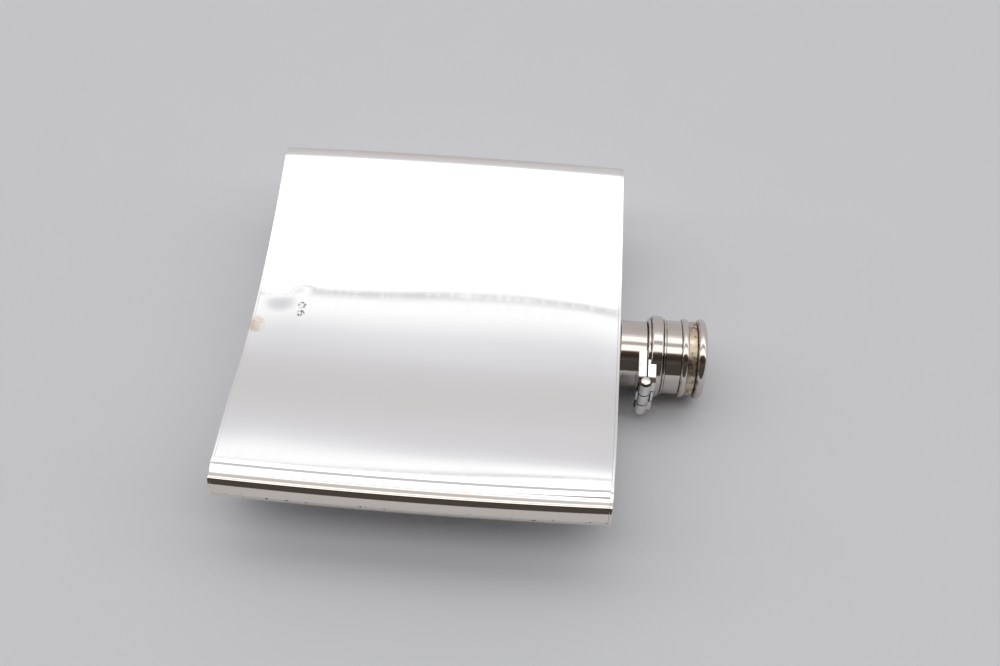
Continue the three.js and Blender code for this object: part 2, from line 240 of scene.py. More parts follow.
def deselect_all():
    if bpy.context.object and bpy.context.object.mode != "OBJECT":
        bpy.ops.object.mode_set(mode="OBJECT")
    bpy.ops.object.select_all(action="DESELECT")


def edit(select="SELECT"):
    bpy.ops.object.mode_set(mode="EDIT")
    bpy.ops.mesh.select_all(action=select)


def named(piece, name):
    piece.name = name
    piece.data.name = name
    return piece


def start_with_point(name, place):
    """A new piece that holds one vertex, in edit mode."""
    deselect_all()
    bpy.ops.mesh.primitive_plane_add(size=MM, location=place)
    piece = named(bpy.context.object, name)
    bpy.ops.object.transform_apply(location=True, rotation=False, scale=False)
    edit()
    bpy.ops.mesh.merge(type="CENTER")
    return piece


def extrude_by(step):
    bpy.ops.mesh.extrude_region_move(TRANSFORM_OT_translate={"value": step})


def trace(points):
    """Extrudes the selected vertex from point to point."""
    for here, there in zip(points, points[1:]):
        extrude_by(there - here)


def outlined(name, points):
    """A new piece traced round a closed outline, in edit mode with all of it selected."""
    piece = start_with_point(name, points[0])
    trace([*points, points[0]])
    bpy.ops.mesh.select_all(action="SELECT")
    bpy.ops.mesh.remove_doubles(threshold=1e-7)
    return piece


def close_up():
    """Merges doubles, turns faces outwards and leaves edit mode."""
    bpy.ops.mesh.select_all(action="SELECT")
    bpy.ops.mesh.remove_doubles(threshold=1e-6)
    bpy.ops.mesh.normals_make_consistent(inside=False)
    bpy.ops.object.mode_set(mode="OBJECT")


def apply_modifier(piece, kind, **settings):
    modifier = piece.modifiers.new(kind.lower(), kind)
    for key, value in settings.items():
        setattr(modifier, key, value)
    deselect_all()
    bpy.context.view_layer.objects.active = piece
    piece.select_set(True)
    bpy.ops.object.modifier_apply(modifier=modifier.name)


def soften(piece, width, angle=40):
    """Rounds the sharp edges of a piece."""
    apply_modifier(
        piece,
        "BEVEL",
        width=width,
        segments=3,
        limit_method="ANGLE",
        angle_limit=math.radians(angle),
        harden_normals=False,
    )


def smooth(piece, angle=35):
    deselect_all()
    bpy.context.view_layer.objects.active = piece
    piece.select_set(True)
    bpy.ops.object.shade_smooth_by_angle(angle=math.radians(angle))


def combine(piece, tool, operation):
    """Joins or cuts a piece with a tool piece, which is used up."""
    apply_modifier(piece, "BOOLEAN", object=tool, operation=operation, solver="EXACT")
    bpy.data.objects.remove(tool)


def push_part(piece, group_name, weight_of, **settings):
    """Displaces the vertices of a piece by a weight worked out from each vertex's place."""
    group = piece.vertex_groups.new(name=group_name)
    for vertex in piece.data.vertices:
        weight = weight_of(vertex.co)
        if weight > 0:
            group.add([vertex.index], weight, "REPLACE")
    apply_modifier(piece, "DISPLACE", vertex_group=group_name, mid_level=0, **settings)
    piece.vertex_groups.clear()


def place_piece(piece, body, slot, material, *nodes):
    """Gives a finished piece its material and its place in the frame."""
    piece.data.materials.clear()
    piece.data.materials.append(material)
    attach(piece, body)
    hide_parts(*nodes)


# ---- Curves ----


def arc(centre, radius, start, end, steps):
    """Points on an arc as pairs, between two angles in degrees."""
    points = []
    for i in range(steps + 1):
        angle = math.radians(start + (end - start) * i / steps)
        points.append((centre[0] + radius * math.cos(angle), centre[1] + radius * math.sin(angle)))
    return points


def ease(value, start, end):
    """Rises smoothly from 0 at the start to 1 at the end."""
    return (1 - math.cos(math.pi * (value - start) / (end - start))) / 2


class BodyCurve:
    """The outline across the body, worked out from the body's shape."""

    def __init__(self, shape):
        self.shape = shape
        hollow_z = HOLLOW_UNDERSIDE_Z + shape.wall + shape.hollow_radius
        side_y = HALF_WIDTH - shape.side_radius
        side_z = hollow_z - math.sqrt((shape.hollow_radius + shape.side_radius) ** 2 - side_y**2)
        back = (side_y**2 + side_z**2 - shape.side_radius**2) / (2 * (side_z - shape.side_radius))
        self.hollow_z = hollow_z
        self.side = (side_y, side_z)
        self.back_radius = back
        self.upper_turn = math.degrees(math.atan2(hollow_z - side_z, side_y))
        self.lower_turn = math.degrees(math.atan2(side_z - back, side_y))
        self.seam = math.degrees(shape.seam_gap / 2 / shape.side_radius)

    def relief(self, y):
        """How far the face's hinge side stands over a plain arc: a low crest, then a trough."""
        shape = self.shape
        reach = -y
        fall = shape.crest_height + shape.trough_depth
        if reach < shape.crest_start or reach > shape.trough_end:
            return 0
        if reach < shape.crest_reach:
            return shape.crest_height * ease(reach, shape.crest_start, shape.crest_reach)
        if reach < shape.trough_reach:
            sunk = (reach - shape.crest_reach) / (shape.trough_reach - shape.crest_reach)
            return shape.crest_height - fall * sunk**TROUGH_BEND
        return shape.trough_depth * (ease(reach, shape.trough_reach, shape.trough_end) - 1)

    def front(self, seam):
        """From the hinge side to the far side, over the hollow face."""
        shape = self.shape
        side_y, side_z = self.side
        turn = self.upper_turn
        near = arc((-side_y, side_z), shape.side_radius, 180 - seam, turn, shape.side_steps)
        centre = (0, self.hollow_z)
        hollow = arc(centre, shape.hollow_radius, 180 + turn, 360 - turn, shape.across_steps)
        far = arc((side_y, side_z), shape.side_radius, 180 - turn, seam, shape.side_steps)
        return [(y, z + self.relief(y)) for y, z in near + hollow[1:-1] + far]

    def back(self, seam):
        """From the far side to the hinge side, under the convex face."""
        shape = self.shape
        side_y, side_z = self.side
        turn = self.lower_turn
        far = arc((side_y, side_z), shape.side_radius, -seam, turn, shape.side_steps)
        under = arc((0, self.back_radius), self.back_radius, turn, -180 - turn, shape.across_steps)
        near = arc((-side_y, side_z), shape.side_radius, 180 - turn, 180 + seam, shape.side_steps)
        return far + under[1:-1] + near


def rounded_off(gap):
    """Falls smoothly from 1 at no gap to 0 at a gap of 1."""
    return math.cos(gap * math.pi / 2) ** 2 if abs(gap) < 1 else 0


# ---- Body pieces ----


def panel(name, curve, pairs, upwards):
    """One panel's outer face, extruded row by row from the base to the shoulder."""
    shape = curve.shape
    start = BASE_INNER_X
    end = SHOULDER_X - shape.shoulder_bulge - PLATE
    step = (end - start) / shape.along_steps
    half_length = (SHOULDER_X - shape.shoulder_bulge - BASE_X) / 2
    middle_x = BASE_X + half_length

    def swell(x):
        along = (x - middle_x) / half_length
        return 1 + shape.side_bow / HALF_WIDTH * (1 - along**2)

    places = [Vector((start, y, z)) for y, z in pairs]
    piece = start_with_point(name, places[0])
    trace(places)
    bpy.ops.mesh.select_all(action="SELECT")
    bpy.ops.transform.resize(value=(1, swell(start), 1), center_override=(0, 0, 0))
    for row in range(shape.along_steps):
        x = start + row * step
        extrude_by((step, 0, 0))
        stretch = swell(x + step) / swell(x)
        bpy.ops.transform.resize(value=(1, stretch, 1), center_override=(0, 0, 0))
    close_up()
    turn_faces(piece, upwards)

    def along(place):
        return (place.x - start) / (end - start)

    push_part(
        piece,
        "shoulder",
        lambda place: along(place) ** 2 * max(0, 1 - (place.y / HALF_WIDTH) ** 2),
        direction="X",
        strength=shape.shoulder_bulge,
    )
    return piece


def turn_faces(piece, upwards):
    """Makes sure that the middle faces of an open panel point up, or down."""
    middle = min(piece.data.polygons, key=lambda face: abs(face.center.x) + abs(face.center.y))
    if (middle.normal.z > 0) != upwards:
        deselect_all()
        bpy.context.view_layer.objects.active = piece
        edit()
        bpy.ops.mesh.flip_normals()
        bpy.ops.object.mode_set(mode="OBJECT")


def ripple_sheet(piece, shape):
    """Long hand-worked waves that fade out towards the ends, where the plates meet the panel."""
    waves = bpy.data.textures.new(piece.name + "_waves", "CLOUDS")
    waves.noise_scale = shape.ripple_size
    waves.noise_depth = 0
    start, end = span("front_panel", 0)

    def away_from_ends(place):
        along = (place.x - start) / (end - start)
        across = min(1, (1 - (place.y / HALF_WIDTH) ** 2) * 2.2 - 0.45)
        return max(0, min(1, along * (1 - along) * 14)) * max(0, across)

    group = piece.vertex_groups.new(name="ripple")
    for vertex in piece.data.vertices:
        group.add([vertex.index], away_from_ends(vertex.co), "REPLACE")
    apply_modifier(
        piece,
        "DISPLACE",
        texture=waves,
        texture_coords="LOCAL",
        vertex_group="ripple",
        mid_level=0.5,
        strength=shape.ripple,
    )
    piece.vertex_groups.clear()


def give_wall(piece, wall):
    apply_modifier(piece, "SUBSURF", levels=1, render_levels=1)
    apply_modifier(piece, "SOLIDIFY", thickness=wall, offset=-1, use_even_offset=True)
    smooth(piece, 45)


def plate(name, curve, x, thickness):
    """An end plate from the body's whole outline, with its outer face at x."""
    pairs = curve.front(0) + curve.back(0)
    piece = outlined(name, [Vector((x, y, z)) for y, z in without_repeats(pairs)])
    bpy.ops.mesh.edge_face_add()
    extrude_by((thickness, 0, 0))
    close_up()
    return piece


def without_repeats(pairs):
    kept = [pairs[0]]
    for pair in pairs[1:]:
        if math.dist(pair, kept[-1]) > 1e-6:
            kept.append(pair)
    return kept if math.dist(kept[0], kept[-1]) > 1e-6 else kept[:-1]


def bulge_plate(piece, shape, strips):
    """Cuts a plate into upright strips and bends it to the shoulder's curve."""
    edit()
    for i in range(1, strips):
        bpy.ops.mesh.select_all(action="SELECT")
        y = HALF_WIDTH * (2 * i / strips - 1)
        bpy.ops.mesh.bisect(plane_co=(0, y, 0), plane_no=(0, 1, 0))
    bpy.ops.object.mode_set(mode="OBJECT")
    push_part(
        piece,
        "shoulder",
        lambda place: max(0, 1 - (place.y / HALF_WIDTH) ** 2),
        direction="X",
        strength=shape.shoulder_bulge,
    )


# ---- Turned pieces ----


def turned(name, profile, steps, rounding=0):
    """A piece spun about the neck axis from a closed profile of places along the neck and radii."""
    piece = outlined(name, [Vector((x, 0, NECK_AXIS_Z + radius)) for x, radius in profile])
    bpy.ops.mesh.spin(steps=steps, angle=2 * math.pi, center=(0, 0, NECK_AXIS_Z), axis=(1, 0, 0))
    close_up()
    if rounding:
        soften(piece, rounding)
    smooth(piece)
    return piece


def tube_profile(bore, radius, start, end):
    return [(start, bore), (start, radius), (end, radius), (end, bore)]


def half_round(bore, radius, start, end):
    """A ring with a rounded outside."""
    half = (end - start) / 2
    height = radius - bore
    circle = arc((start + half, bore), half, 180, 0, 16)
    crown = [(x, bore + (radius - bore) * height / half) for x, radius in circle]
    return [(start, bore - JOIN_GAP / 2), *crown, (end, bore - JOIN_GAP / 2)]


def bar(axis, centre, radius, low, high, vertices=KNUCKLE_SIDES):
    """A cylinder tool along X or Z."""
    deselect_all()
    middle = centre.copy()
    index = "XYZ".index(axis)
    middle[index] = (low + high) / 2
    turn = (0, math.pi / 2, 0) if axis == "X" else (0, 0, 0)
    bpy.ops.mesh.primitive_cylinder_add(
        vertices=vertices, radius=radius, depth=high - low, location=middle, rotation=turn
    )
    bpy.ops.object.transform_apply(location=True, rotation=True, scale=True)
    return bpy.context.object


# ---- Hinge ----


def knuckle_spans(neck):
    """The three knuckles' low and high ends, from below."""
    half = (PIN_HIGH - PIN_LOW) / 2 - neck.pin_head - JOIN_GAP
    third = 2 * half / 3
    lows = [NECK_AXIS_Z - half + third * i for i in range(3)]
    return [(low + neck.knuckle_gap / 2, low + third - neck.knuckle_gap / 2) for low in lows]


def strap(name, start, neck):
    """A flat strap from the neck axis to the pin, widest at the neck."""
    half = (PIN_HIGH - PIN_LOW) / 2 - neck.pin_head - JOIN_GAP
    reach = -PIN[1]
    deselect_all()
    bpy.ops.mesh.primitive_cube_add(size=1, location=(0, 0, 0))
    piece = named(bpy.context.object, name)
    edit()
    bpy.ops.transform.resize(value=(neck.leaf_thickness, reach, 2 * half))
    middle = (start + neck.leaf_thickness / 2, -reach / 2, NECK_AXIS_Z)
    bpy.ops.transform.translate(value=middle)
    bpy.ops.object.mode_set(mode="OBJECT")
    for vertex in piece.data.vertices:
        vertex.select = vertex.co.y > -reach / 2
    for edge in piece.data.edges:
        edge.select = all(piece.data.vertices[i].select for i in edge.vertices)
    for face in piece.data.polygons:
        face.select = all(piece.data.vertices[i].select for i in face.vertices)
    bpy.ops.object.mode_set(mode="EDIT")
    flare = (half + neck.leaf_flare) / half
    bpy.ops.transform.resize(value=(1, 1, flare), center_override=(start, 0, NECK_AXIS_Z))
    bpy.ops.object.mode_set(mode="OBJECT")
    return piece


def hinge_leaf(name, start, rings, own, other, neck):
    """A strap cut to its rings and clear of the other leaf's knuckles, with its own knuckles."""
    piece = strap(name, start, neck)
    neck_line = Vector((0, 0, NECK_AXIS_Z))
    spans = knuckle_spans(neck)
    for radius, low, high in rings:
        combine(piece, bar("X", neck_line, radius, low, high, RING_SIDES), "DIFFERENCE")
    for index in other:
        low, high = spans[index]
        low, high = low - neck.knuckle_gap, high + neck.knuckle_gap
        combine(piece, bar("Z", PIN, KNUCKLE_RADIUS + RUN_GAP, low, high), "DIFFERENCE")
    for index in own:
        combine(piece, bar("Z", PIN, KNUCKLE_RADIUS, *spans[index]), "UNION")
    bore = bar("Z", PIN, neck.pin_radius + PIN_GAP, PIN_LOW, PIN_HIGH, BORE_SIDES)
    combine(piece, bore, "DIFFERENCE")
    soften(piece, neck.leaf_round, 50)
    smooth(piece)
    return piece


# ---- Materials ----


class Nodes:
    """Adds and joins the nodes of one material."""

    def __init__(self, material):
        material.use_nodes = True
        self.tree = material.node_tree
        self.shader = self.tree.nodes["Principled BSDF"]
        self.place = self.add("ShaderNodeTexCoord").outputs["Object"]

    def add(self, kind, **settings):
        node = self.tree.nodes.new(kind)
        for key, value in settings.items():
            setattr(node, key, value)
        return node

    def feed(self, socket, value):
        """Sets a socket, or joins it to another node's output."""
        if isinstance(value, bpy.types.NodeSocket):
            self.tree.links.new(value, socket)
        else:
            socket.default_value = value

    def drawn_out(self, scale, turn):
        """Places stretched along one axis and turned about the upright, in degrees."""
        mapping = self.add("ShaderNodeMapping")
        self.feed(mapping.inputs["Vector"], self.place)
        mapping.inputs["Rotation"].default_value = (0, 0, math.radians(turn))
        mapping.inputs["Scale"].default_value = scale
        return mapping.outputs["Vector"]

    def noise(self, scale, detail=3, vector=None, roughness=0.5):
        texture = self.add("ShaderNodeTexNoise")
        self.feed(texture.inputs["Vector"], vector or self.place)
        texture.inputs["Scale"].default_value = scale
        texture.inputs["Detail"].default_value = detail
        texture.inputs["Roughness"].default_value = roughness
        return texture.outputs["Fac"]

    def ranged(self, value, low, high, new_low=0, new_high=1):
        node = self.add("ShaderNodeMapRange", interpolation_type="SMOOTHSTEP")
        self.feed(node.inputs["Value"], value)
        node.inputs["From Min"].default_value = low
        node.inputs["From Max"].default_value = high
        node.inputs["To Min"].default_value = new_low
        node.inputs["To Max"].default_value = new_high
        return node.outputs["Result"]

    def maths(self, operation, first, second=0):
        node = self.add("ShaderNodeMath", operation=operation)
        self.feed(node.inputs[0], first)
        self.feed(node.inputs[1], second)
        return node.outputs[0]

    def mix(self, share_of_second, first, second):
        node = self.add("ShaderNodeMix", data_type="RGBA")
        self.feed(node.inputs["Factor"], share_of_second)
        self.feed(node.inputs[6], first)
        self.feed(node.inputs[7], second)
        return node.outputs[2]

    def near(self, centre, radius):
        """A soft spot round a place, 1 at its centre."""
        gap = self.add("ShaderNodeVectorMath", operation="DISTANCE")
        self.feed(gap.inputs[0], self.place)
        gap.inputs[1].default_value = centre
        return self.ranged(gap.outputs["Value"], 0, radius, 1, 0)

    def along(self, axis):
        split = self.add("ShaderNodeSeparateXYZ")
        self.feed(split.inputs[0], self.place)
        return split.outputs[axis]

    def stripe(self, axis, centre, half_width, fade):
        """A soft stripe across one axis."""
        off = self.maths("ABSOLUTE", self.maths("SUBTRACT", self.along(axis), centre))
        return self.ranged(off, half_width, half_width + fade, 1, 0)

    def bump(self, height, strength, distance, normal=None):
        node = self.add("ShaderNodeBump")
        self.feed(node.inputs["Height"], height)
        node.inputs["Strength"].default_value = strength
        node.inputs["Distance"].default_value = distance
        if normal:
            self.feed(node.inputs["Normal"], normal)
        return node.outputs["Normal"]

    def set(self, name, value):
        self.feed(self.shader.inputs[name], value)

    def roughen(self, share_of_patch, extra):
        """Adds roughness where a patch is."""
        rough = self.shader.inputs["Roughness"].links[0].from_socket
        added = self.maths("MULTIPLY", share_of_patch, extra)
        self.set("Roughness", self.maths("ADD", rough, added))


def opaque(rgb):
    return (*rgb, 1)


def silver(name, base, roughness, wear):
    """Polished silver: slightly uneven polish and fine wipe marks along and across."""
    material = bpy.data.materials.new(name)
    nodes = Nodes(material)
    nodes.set("Metallic", 1.0)
    patches = nodes.noise(45, 4)
    wiped = nodes.noise(900, 2, nodes.drawn_out((0.06, 1, 1), 8))
    crossed = nodes.noise(700, 2, nodes.drawn_out((1, 0.05, 1), -20))
    scratches = nodes.maths("ADD", wiped, crossed)
    haze = nodes.ranged(patches, 0.3, 0.75, roughness, roughness * 1.8)
    marks = nodes.ranged(scratches, 0.95, 1.25, 0, wear * 0.12)
    nodes.set("Roughness", nodes.maths("ADD", haze, marks))
    nodes.relief = nodes.bump(scratches, wear * 0.3, 0.004 * MM)
    nodes.set("Normal", nodes.relief)
    nodes.set("Base Color", opaque(base))
    return material, nodes


def on_face(place, rise=0):
    """A place on the hollow face's lowest line, or a little over it."""
    return (place[0] * MM, place[1] * MM, HOLLOW_UNDERSIDE_Z + rise)


def body_silver(finish):
    """Sheet silver with a stain, two worn punches, a brushed patch, seam pits and narrow sides
    darkened by painted reflection shade.
    """
    base = opaque(finish.body_silver)
    material, nodes = silver("sheet_silver", finish.body_silver, finish.polish, finish.wear)
    stain = nodes.maths("MULTIPLY", nodes.near(on_face(STAIN), 5 * MM), nodes.noise(400, 4))
    stained = nodes.mix(nodes.ranged(stain, 0.12, 0.4, 0, 0.55), base, opaque(finish.tarnish))
    for place in PUNCHES:
        punch = nodes.ranged(nodes.near(on_face(place, 0.8 * MM), 2.2 * MM), 0.45, 0.6)
        figure = nodes.ranged(nodes.noise(1500, 1), 0.45, 0.55, 0.1, 0.75)
        worn = nodes.maths("MULTIPLY", punch, figure)
        stained = nodes.mix(worn, stained, opaque(finish.tarnish_and_shade_black))
    reach = nodes.maths("ABSOLUTE", nodes.along("Y"))
    side = nodes.ranged(reach, HALF_WIDTH - 4 * MM, HALF_WIDTH - 2.2 * MM)
    # Painted reflection shade: the narrow sides take the side colour, darker and warmer, standing
    # for the darker surroundings that they reflect.
    sides_shaded = nodes.mix(side, stained, opaque(finish.side_reflection_shade))
    seam_z = span("front_panel", 2)[1] - SIDE_RADIUS_MM * MM
    seam = nodes.maths("MULTIPLY", side, nodes.stripe("Z", seam_z, 0.35 * MM, 0.6 * MM))
    pores = nodes.ranged(nodes.noise(650, 1), 0.66, 0.7)
    pits = nodes.maths("MULTIPLY", seam, pores)
    nodes.set("Base Color", nodes.mix(pits, sides_shaded, opaque(finish.tarnish_and_shade_black)))
    brushed = nodes.near(on_face(BRUSHED), 7 * MM)
    strokes = nodes.noise(1100, 3, nodes.drawn_out((1, 0.08, 1), 14))
    lines = nodes.maths("MULTIPLY", brushed, nodes.ranged(strokes, 0.4, 0.65))
    nodes.roughen(lines, 0.12)
    nodes.set("Normal", nodes.bump(lines, 0.35, 0.01 * MM, nodes.relief))
    return material


def cap_silver(finish):
    """Turned silver, gold-brown in the groove under the top, dark in the rings' corners, and
    darkened on its lower half by painted shade, strongly on the sleeve and slightly on the cap.
    """
    clean = opaque(finish.cap_silver)
    dark = opaque(finish.tarnish_and_shade_black)
    material, nodes = silver(
        "turned_silver", finish.cap_silver, finish.polish * 1.3, finish.wear * 1.6
    )
    groove_start = span("cap_bead", 0)[1]
    groove_end = BARREL_END + 0.4 * MM
    middle, half = (groove_start + groove_end) / 2, (groove_end - groove_start) / 2
    groove = nodes.stripe("X", middle, half, 0.3 * MM)
    blotches = nodes.ranged(nodes.noise(420, 5, roughness=0.7), 0.3, 0.6, 0.3, 1)
    bloom = nodes.maths("MULTIPLY", groove, blotches)
    base = nodes.mix(nodes.maths("MULTIPLY", bloom, 0.62), clean, opaque(finish.tarnish))
    spots = nodes.ranged(nodes.noise(700, 4, roughness=0.65), 0.5, 0.6, 0, 0.72)
    base = nodes.mix(nodes.maths("MULTIPLY", groove, spots), base, dark)
    grains = nodes.noise(1400, 4, roughness=0.7)
    nodes.roughen(bloom, 0.32)
    rough = nodes.maths("MULTIPLY", groove, grains)
    nodes.set("Normal", nodes.bump(rough, 0.6, 0.06 * MM, nodes.relief))
    # Painted shade: the lower half of the turned pieces is darkened with the black colour, strongly
    # on the sleeve and slightly on the cap, standing for the dark surroundings that it reflects.
    low = nodes.ranged(nodes.along("Z"), NECK_AXIS_Z + 2 * MM, NECK_AXIS_Z + 5 * MM, 1, 0)
    sleeve_shade_fade = 0.4 * MM
    sleeve_shade_share = nodes.ranged(
        nodes.along("X"), SLEEVE_END - sleeve_shade_fade, SLEEVE_END + sleeve_shade_fade, 0.62, 0.2
    )
    base = nodes.mix(nodes.maths("MULTIPLY", low, sleeve_shade_share), base, dark)
    film = nodes.ranged(nodes.noise(160, 3), 0.42, 0.66, 0, 0.34)
    base = nodes.mix(film, base, opaque(finish.inner_silver))
    corners = [SLEEVE_END, BAND_START - JOIN_GAP / 2, BAND_END + JOIN_GAP / 2]
    corners += [span("cap_fillet_ring", 0)[1], span("cap_bead", 0)[0], BARREL_END]
    for place in corners:
        line = nodes.stripe("X", place, 0.04 * MM, 0.18 * MM)
        grime = nodes.maths("MULTIPLY", line, nodes.ranged(nodes.noise(500, 3), 0.3, 0.6, 0.3, 0.9))
        base = nodes.mix(grime, base, dark)
    nodes.set("Base Color", base)
    return material


def hinge_silver(finish, neck):
    """Worn silver with dark lines between the knuckles and under the pin's head."""
    dark = opaque(finish.tarnish_and_shade_black)
    material, nodes = silver(
        "strap_silver", finish.hinge_silver, finish.polish * 2.2, finish.wear * 2.5
    )
    cloud = nodes.ranged(nodes.noise(350, 4), 0.45, 0.75, 0, 0.4)
    base = nodes.mix(cloud, opaque(finish.hinge_silver), opaque(finish.inner_silver))
    knuckle_edge = PIN[1] + KNUCKLE_RADIUS
    for end in (place for ends in knuckle_spans(neck) for place in ends):
        line = nodes.stripe("Z", end, 0.1 * MM, 0.08 * MM)
        outside = nodes.ranged(nodes.along("Y"), knuckle_edge, knuckle_edge + 0.2 * MM, 1, 0)
        base = nodes.mix(nodes.maths("MULTIPLY", line, outside), base, dark)
    under_head = nodes.stripe("Z", PIN_HIGH - neck.pin_head - JOIN_GAP / 2, 0.08 * MM, 0.1 * MM)
    base = nodes.mix(under_head, base, dark)
    nodes.set("Base Color", base)
    return material


def inner_silver(finish):
    """Unpolished, clouded silver."""
    material, nodes = silver("unpolished_silver", finish.inner_silver, 0.3, finish.wear * 2)
    cloud = nodes.ranged(nodes.noise(180, 5), 0.4, 0.7, 0, 0.6)
    nodes.set("Base Color", nodes.mix(cloud, opaque(finish.inner_silver), opaque(finish.tarnish)))
    return material


def cork_grain(finish):
    """Cork: light cells, dark pores and a rough skin."""
    material = bpy.data.materials.new("cork_grain")
    nodes = Nodes(material)
    nodes.set("Roughness", nodes.ranged(nodes.noise(500, 3), 0.3, 0.7, 0.78, 0.95))
    cells = nodes.add("ShaderNodeTexVoronoi")
    nodes.feed(cells.inputs["Vector"], nodes.place)
    cells.inputs["Scale"].default_value = 900
    shade = nodes.ranged(nodes.noise(250, 5), 0.3, 0.7, 0, 0.45)
    light = nodes.mix(shade, opaque(finish.cork), opaque(finish.cork_pore))
    pores = nodes.ranged(nodes.noise(600, 2), 0.62, 0.68)
    nodes.set("Base Color", nodes.mix(pores, light, opaque(finish.cork_pore)))
    nodes.set("Normal", nodes.bump(cells.outputs["Distance"], 0.5, 0.08 * MM))
    return material


def floor_paper(stage):
    """Pale paper, slightly mottled."""
    material = bpy.data.materials.new("floor_paper")
    nodes = Nodes(material)
    nodes.set("Roughness", nodes.ranged(nodes.noise(60, 3), 0.3, 0.7, 0.7, 0.82))
    nodes.set("Normal", nodes.bump(nodes.noise(900, 2), 0.1, 0.02 * MM))
    tone = nodes.ranged(nodes.noise(6, 2), 0.2, 0.8, 0, 0.06)
    nodes.set("Base Color", nodes.mix(tone, opaque(stage.floor), (0.67, 0.68, 0.7, 1)))
    return material


def studio_light(scene, strength):
    """Soft light: a white softbox overhead, a dim wall behind the flask and dark in front."""
    world = bpy.data.worlds.new("studio")
    scene.world = world
    world.use_nodes = True
    tree = world.node_tree
    back = tree.nodes["Background"]
    direction = tree.nodes.new("ShaderNodeTexCoord")
    split = tree.nodes.new("ShaderNodeSeparateXYZ")
    tree.links.new(direction.outputs["Generated"], split.inputs[0])
    angle = tree.nodes.new("ShaderNodeMath")
    angle.operation = "ARCTAN2"
    tree.links.new(split.outputs["Y"], angle.inputs[0])
    tree.links.new(split.outputs["Z"], angle.inputs[1])
    share_round = tree.nodes.new("ShaderNodeMapRange")
    share_round.inputs["From Min"].default_value = math.radians(90 - RAMP_FRONT)
    share_round.inputs["From Max"].default_value = math.radians(90 - RAMP_BACK)
    tree.links.new(angle.outputs[0], share_round.inputs["Value"])
    ramp = tree.nodes.new("ShaderNodeValToRGB")
    tree.links.new(share_round.outputs["Result"], ramp.inputs["Fac"])
    fill_ramp(ramp.color_ramp)
    tree.links.new(ramp.outputs["Color"], back.inputs["Color"])
    back.inputs["Strength"].default_value = strength


def fill_ramp(ramp):
    """Stops by elevation: 0 degrees is the horizon behind the flask, 90 overhead, 180 in front."""
    softbox = (1, 1, 1)
    lamp_mount = (0.36, 0.355, 0.36)
    line = (0.40, 0.40, 0.405)
    stops = [
        (155, (0.045, 0.040, 0.036)),
        (148, (0.042, 0.037, 0.033)),
        (140, (0.060, 0.056, 0.051)),
        (130, (0.026, 0.020, 0.017)),
        (120, (0.040, 0.028, 0.022)),
        (113, (0.085, 0.060, 0.046)),
        (109, softbox),
        (93, softbox),
        (89.5, lamp_mount),
        (80.5, lamp_mount),
        (77, softbox),
        (64, softbox),
        (58.3, (0.75, 0.75, 0.75)),
        (58, line),
        (57.6, line),
        (57.3, (0.68, 0.68, 0.685)),
        (56.2, (0.672, 0.672, 0.677)),
        (55.2, (0.64, 0.64, 0.647)),
        (54.3, (0.59, 0.59, 0.60)),
        (53.8, (0.552, 0.552, 0.565)),
        (52.9, (0.50, 0.50, 0.515)),
        (50.5, (0.44, 0.435, 0.45)),
        (47.5, (0.418, 0.412, 0.422)),
        (41, (0.40, 0.39, 0.395)),
        (30, (0.38, 0.36, 0.365)),
        (25, (0.37, 0.35, 0.355)),
    ]
    while len(ramp.elements) > 1:
        ramp.elements.remove(ramp.elements[-1])
    ramp.elements[0].position = elevation_share(stops[0][0])
    ramp.elements[0].color = opaque(stops[0][1])
    for elevation, tone in stops[1:]:
        stop = ramp.elements.new(elevation_share(elevation))
        stop.color = opaque(tone)


def elevation_share(elevation):
    """Where an elevation lies on the ramp, which runs from the front over the top to the back."""
    return (RAMP_FRONT - elevation) / (RAMP_FRONT - RAMP_BACK)


# ---- Operators ----


def shapes(context):
    scene = context.scene
    return scene.flask_body, scene.flask_neck, scene.flask_finish


def material_of(maker, name, finish):
    """The material of that name, made once."""
    return bpy.data.materials.get(name) or maker(finish)


class FLASK_OT_stage(bpy.types.Operator):
    """Lay out the pale floor, the soft studio light and the camera"""

    bl_idname = "flask.stage"
    bl_label = "Set the stage"

    def execute(self, context):
        scene = context.scene
        stage = scene.flask_stage
        scene.view_settings.view_transform = "Standard"
        studio_light(scene, stage.light)
        deselect_all()
        bpy.ops.mesh.primitive_plane_add(size=stage.floor_size)
        floor = named(context.object, "floor")
        floor.data.materials.append(floor_paper(stage))
        turn = (stage.tilt, stage.roll, stage.heading)
        bpy.ops.object.camera_add(location=stage.eye, rotation=turn)
        camera = named(context.object, "camera")
        camera.data.lens = stage.lens
        scene.camera = camera
        return {"FINISHED"}


class FLASK_OT_front_panel(bpy.types.Operator):
    """Work the hollow upper panel, with its waves and its dent"""

    bl_idname = "flask.front_panel"
    bl_label = "Front panel"

    def execute(self, context):
        body, _, finish = shapes(context)
        curve = BodyCurve(body)
        piece = panel("front_skin", curve, curve.front(curve.seam), True)
        dent = Vector((body.dent_x, body.dent_y, HOLLOW_UNDERSIDE_Z + body.wall))
        second_dent = dent + Vector((*SECOND_DENT, 0)) * MM
        second_radius = body.dent_radius * SECOND_DENT_SHARE

        def in_dent(place):
            first = rounded_off((place - dent).length / body.dent_radius)
            second = rounded_off((place - second_dent).length / second_radius)
            return min(1, first + SECOND_DENT_SHARE * second)

        def in_swell(place):
            across = rounded_off((place.y - body.swell_y) / body.swell_width)
            return across * min(1, max(0, (place.x - BASE_X) / (SHOULDER_X - BASE_X))) ** 2

        push_part(piece, "swell", in_swell, direction="Z", strength=body.swell_height)
        ripple_sheet(piece, body)
        push_part(piece, "dent", in_dent, direction="Z", strength=-body.dent_depth)
        give_wall(piece, body.wall)
        material = material_of(body_silver, "sheet_silver", finish)
        place_piece(piece, "flask_body", "polished_silver", material, "front_panel")
        return {"FINISHED"}


